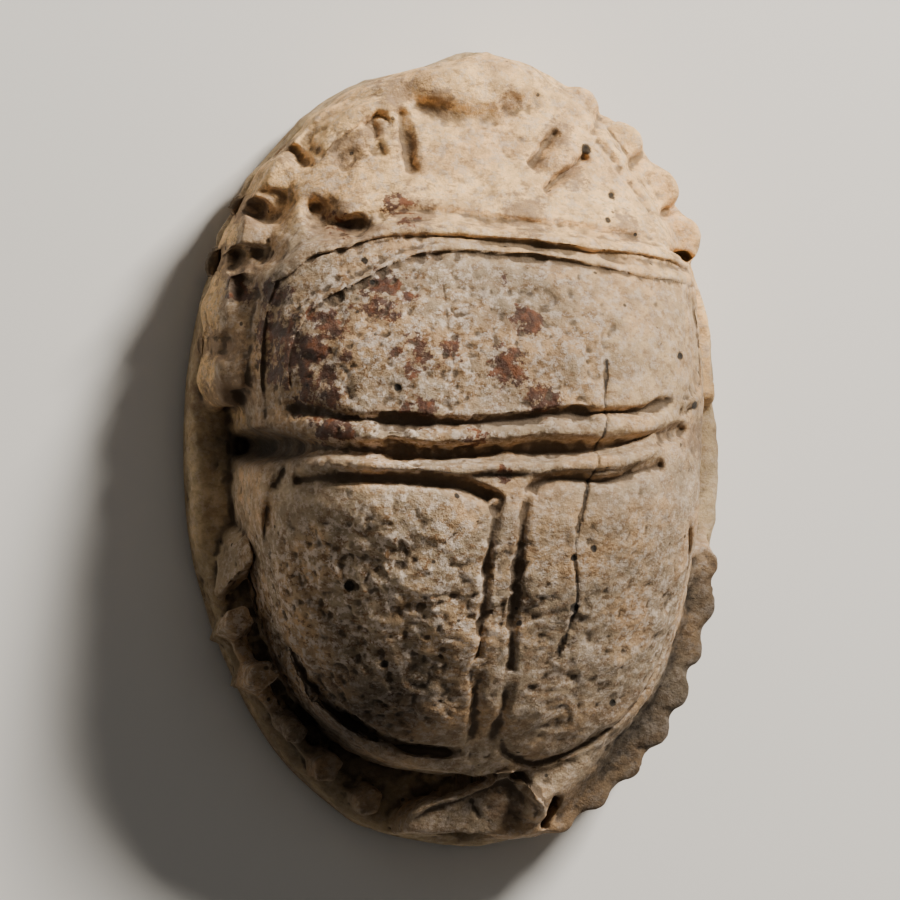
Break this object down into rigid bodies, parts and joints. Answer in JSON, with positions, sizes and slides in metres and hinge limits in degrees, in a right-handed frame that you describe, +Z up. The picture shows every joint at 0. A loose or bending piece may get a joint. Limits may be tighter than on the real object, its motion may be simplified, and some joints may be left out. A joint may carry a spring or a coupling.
{
  "type": "scarab amulet",
  "caption": "Small carved stone scarab amulet: domed beetle with grooved wing cases and toothed legs on an oval base, pierced lengthwise for a string.",
  "frame": {"origin": "centre of the oval base's underside", "axes": "+Y along the length towards the beetle's head, +Z up from the underside to the back, +X to the beetle's right seen from above with the head away from the viewer"},
  "size_m": [0.0138, 0.02, 0.0091],
  "materials": {
    "steatite": "matte"
  },
  "bodies": {
    "root": {"scarab": "steatite"}
  },
  "joints": []
}
